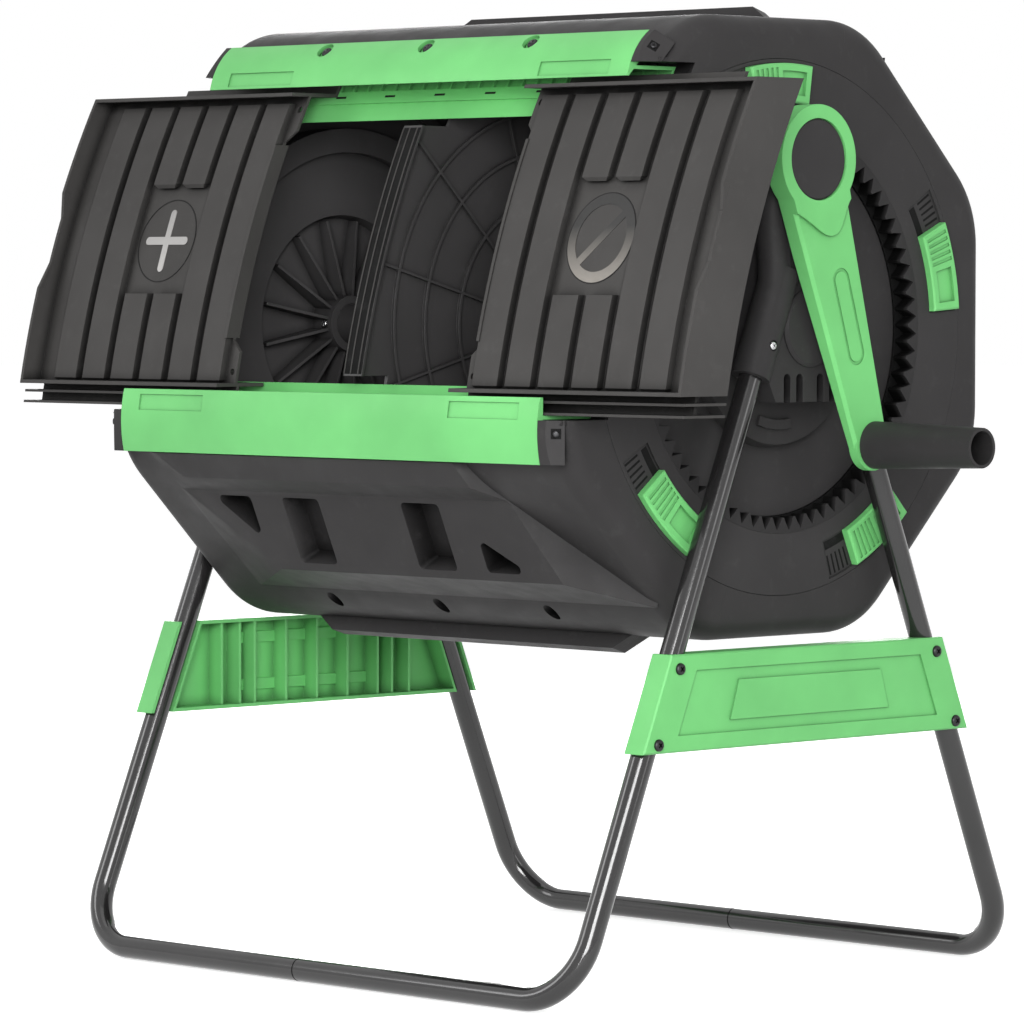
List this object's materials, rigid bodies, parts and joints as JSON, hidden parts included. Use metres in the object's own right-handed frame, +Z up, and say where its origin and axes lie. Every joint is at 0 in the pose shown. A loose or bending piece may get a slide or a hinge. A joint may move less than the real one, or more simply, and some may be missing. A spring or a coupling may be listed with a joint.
{
  "type": "tumbling compost bin",
  "caption": "Eight-sided plastic composting drum with sliding doors and two chambers, turned by a geared hand crank on a steel tube stand.",
  "frame": {"origin": "on the floor under the middle of the drum", "axes": "+X along the drum axis towards the crank, -Y towards the doors, +Z up"},
  "size_m": [0.938, 0.616, 0.9112],
  "materials": {
    "green": "satin moulded",
    "black": "fine grain moulded",
    "tube": "gloss powder coat",
    "steel": "zinc plated"
  },
  "bodies": {
    "frame": {"leg_front_left": "tube", "leg_front_right": "tube", "leg_rear_left": "tube", "leg_rear_right": "tube", "bracket_left": "black", "bracket_right": "black", "bracket_screws_left": "steel", "bracket_screws_right": "steel", "side_panel_left": "green", "side_panel_right": "green", "panel_screws_left": "steel", "panel_screws_right": "steel"},
    "drum": {"front_shell": "black", "rear_shell": "black", "seam_screws": "steel", "lower_rail": "green", "upper_rail": "green", "rail_screws": "steel", "end_disc_left": "black", "end_disc_right": "black", "ring_gear": "black", "divider": "black", "axle_tube": "tube", "axle_cap_left": "black", "axle_cap_right": "black", "axle_screws": "steel"},
    "left_door": {"left_door": "black"},
    "right_door": {"right_door": "black"},
    "crank": {"crank_arm": "green", "crank_cap": "black", "crank_shaft": "steel", "pinion": "black", "grip_spindle": "steel"},
    "crank_grip": {"crank_grip": "black"},
    "latch_left_1": {"latch_left_1": "green"},
    "latch_left_2": {"latch_left_2": "green"},
    "latch_left_3": {"latch_left_3": "green"},
    "latch_left_4": {"latch_left_4": "green"},
    "latch_right_1": {"latch_right_1": "green"},
    "latch_right_2": {"latch_right_2": "green"},
    "latch_right_3": {"latch_right_3": "green"},
    "latch_right_4": {"latch_right_4": "green"}
  },
  "joints": [
    {"name": "drum_turn", "type": "hinge", "parent": "frame", "child": "drum", "pos_m": [0, 0, 0.609], "axis": [1, 0, 0], "range_deg": [-8, 33]},
    {"name": "crank_turn", "type": "hinge", "parent": "frame", "child": "crank", "pos_m": [0, -0.02157, 0.76249], "axis": [1, 0, 0], "range_deg": [-57.6, 237.6]},
    {"name": "left_door_slide", "type": "slide", "parent": "drum", "child": "left_door", "axis": [1, 0, 0], "range_m": [-0.039, 0.1505]},
    {"name": "right_door_slide", "type": "slide", "parent": "drum", "child": "right_door", "axis": [1, 0, 0], "range_m": [-0.1625, 0.027]},
    {"name": "crank_grip_spin", "type": "hinge", "parent": "crank", "child": "crank_grip", "pos_m": [0.43, 0.05991, 0.50089], "axis": [1, 0, 0], "continuous": true},
    {"name": "latch_left_1_slide", "type": "hinge", "parent": "drum", "child": "latch_left_1", "pos_m": [0, 0, 0.609], "axis": [1, 0, 0], "range_deg": [0, 8]},
    {"name": "latch_left_2_slide", "type": "hinge", "parent": "drum", "child": "latch_left_2", "pos_m": [0, 0, 0.609], "axis": [1, 0, 0], "range_deg": [0, 8]},
    {"name": "latch_left_3_slide", "type": "hinge", "parent": "drum", "child": "latch_left_3", "pos_m": [0, 0, 0.609], "axis": [1, 0, 0], "range_deg": [-8, 0]},
    {"name": "latch_left_4_slide", "type": "hinge", "parent": "drum", "child": "latch_left_4", "pos_m": [0, 0, 0.609], "axis": [1, 0, 0], "range_deg": [-8, 0]},
    {"name": "latch_right_1_slide", "type": "hinge", "parent": "drum", "child": "latch_right_1", "pos_m": [0, 0, 0.609], "axis": [1, 0, 0], "range_deg": [0, 8]},
    {"name": "latch_right_2_slide", "type": "hinge", "parent": "drum", "child": "latch_right_2", "pos_m": [0, 0, 0.609], "axis": [1, 0, 0], "range_deg": [0, 8]},
    {"name": "latch_right_3_slide", "type": "hinge", "parent": "drum", "child": "latch_right_3", "pos_m": [0, 0, 0.609], "axis": [1, 0, 0], "range_deg": [-8, 0]},
    {"name": "latch_right_4_slide", "type": "hinge", "parent": "drum", "child": "latch_right_4", "pos_m": [0, 0, 0.609], "axis": [1, 0, 0], "range_deg": [-8, 0]}
  ],
  "couplings": [
    {"joint": "crank_turn", "follows": "drum_turn", "ratio": 7.2}
  ]
}
